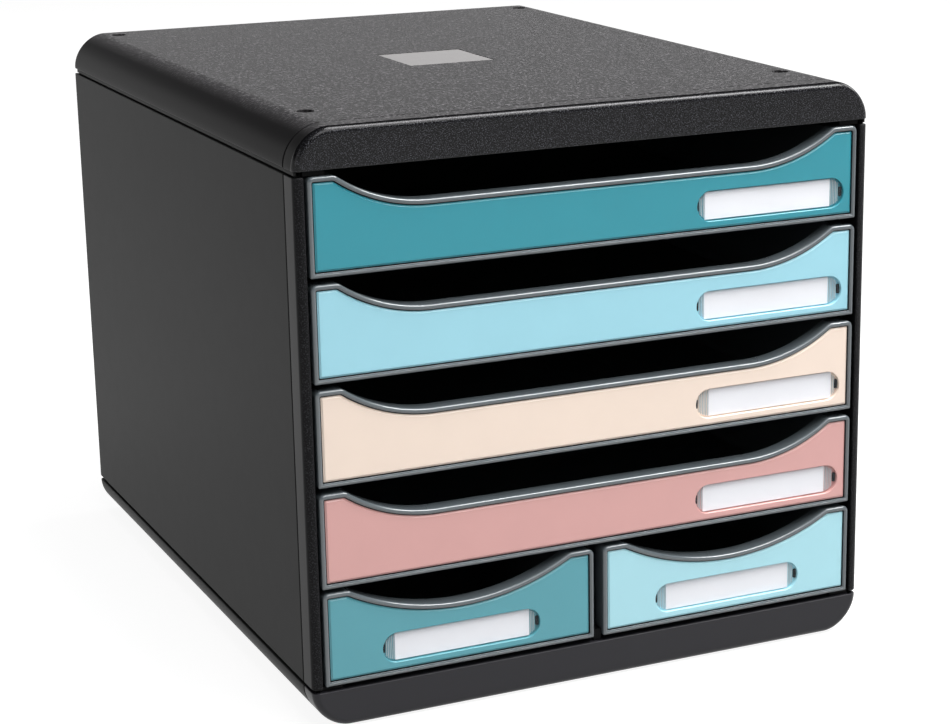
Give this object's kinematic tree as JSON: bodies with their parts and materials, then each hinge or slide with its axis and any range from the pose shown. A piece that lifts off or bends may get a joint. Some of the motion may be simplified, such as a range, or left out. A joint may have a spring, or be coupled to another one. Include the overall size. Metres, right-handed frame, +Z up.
{
  "type": "desktop drawer cabinet",
  "caption": "Moulded desktop drawer cabinet: full-width sliding drawers over a row of small ones, coloured fronts with finger scoops and label windows.",
  "frame": {"origin": "middle of the cabinet's footprint, on the surface it stands on", "axes": "+X to the right as seen from the drawer fronts, +Y from the fronts to the back, +Z up"},
  "size_m": [0.278, 0.347, 0.267],
  "materials": {
    "casing_plastic": "fine grained satin",
    "trim_plastic": "speckled spark-eroded grain",
    "panel_plastic": "smooth satin",
    "runner_plastic": "smooth satin",
    "foot_rubber": "matt",
    "badge_plastic": "satin, blank",
    "tray_plastic": "satin",
    "teal_plastic": "satin gloss",
    "aqua_plastic": "satin gloss",
    "peach_plastic": "satin gloss",
    "rose_plastic": "satin gloss",
    "small_teal_plastic": "satin gloss",
    "small_aqua_plastic": "satin gloss",
    "clear_plastic": "clear, polished",
    "label_paper": "matt card"
  },
  "bodies": {
    "casing": {"base_tray": "casing_plastic", "base_front_trim": "trim_plastic", "stacking_feet": "foot_rubber", "top_cover": "casing_plastic", "top_front_trim": "trim_plastic", "badge_plate": "badge_plastic", "left_side_panel": "panel_plastic", "right_side_panel": "panel_plastic", "left_front_strip": "trim_plastic", "right_front_strip": "trim_plastic", "back_panel": "panel_plastic", "left_runner_rack": "runner_plastic", "right_runner_rack": "runner_plastic", "centre_divider": "runner_plastic"},
    "drawer_1": {"drawer_1_tray": "tray_plastic", "drawer_1_front": "teal_plastic", "drawer_1_window": "clear_plastic", "drawer_1_label": "label_paper"},
    "drawer_2": {"drawer_2_tray": "tray_plastic", "drawer_2_front": "aqua_plastic", "drawer_2_window": "clear_plastic", "drawer_2_label": "label_paper"},
    "drawer_3": {"drawer_3_tray": "tray_plastic", "drawer_3_front": "peach_plastic", "drawer_3_window": "clear_plastic", "drawer_3_label": "label_paper"},
    "drawer_4": {"drawer_4_tray": "tray_plastic", "drawer_4_front": "rose_plastic", "drawer_4_window": "clear_plastic", "drawer_4_label": "label_paper"},
    "left_small_drawer": {"left_small_tray": "tray_plastic", "left_small_front": "small_teal_plastic", "left_small_window": "clear_plastic", "left_small_label": "label_paper"},
    "right_small_drawer": {"right_small_tray": "tray_plastic", "right_small_front": "small_aqua_plastic", "right_small_window": "clear_plastic", "right_small_label": "label_paper"}
  },
  "joints": [
    {"name": "drawer_1_slide", "type": "slide", "parent": "casing", "child": "drawer_1", "axis": [0, -1, 0], "range_m": [0, 0.25]},
    {"name": "drawer_2_slide", "type": "slide", "parent": "casing", "child": "drawer_2", "axis": [0, -1, 0], "range_m": [0, 0.25]},
    {"name": "drawer_3_slide", "type": "slide", "parent": "casing", "child": "drawer_3", "axis": [0, -1, 0], "range_m": [0, 0.25]},
    {"name": "drawer_4_slide", "type": "slide", "parent": "casing", "child": "drawer_4", "axis": [0, -1, 0], "range_m": [0, 0.25]},
    {"name": "left_small_drawer_slide", "type": "slide", "parent": "casing", "child": "left_small_drawer", "axis": [0, -1, 0], "range_m": [0, 0.25]},
    {"name": "right_small_drawer_slide", "type": "slide", "parent": "casing", "child": "right_small_drawer", "axis": [0, -1, 0], "range_m": [0, 0.25]}
  ]
}
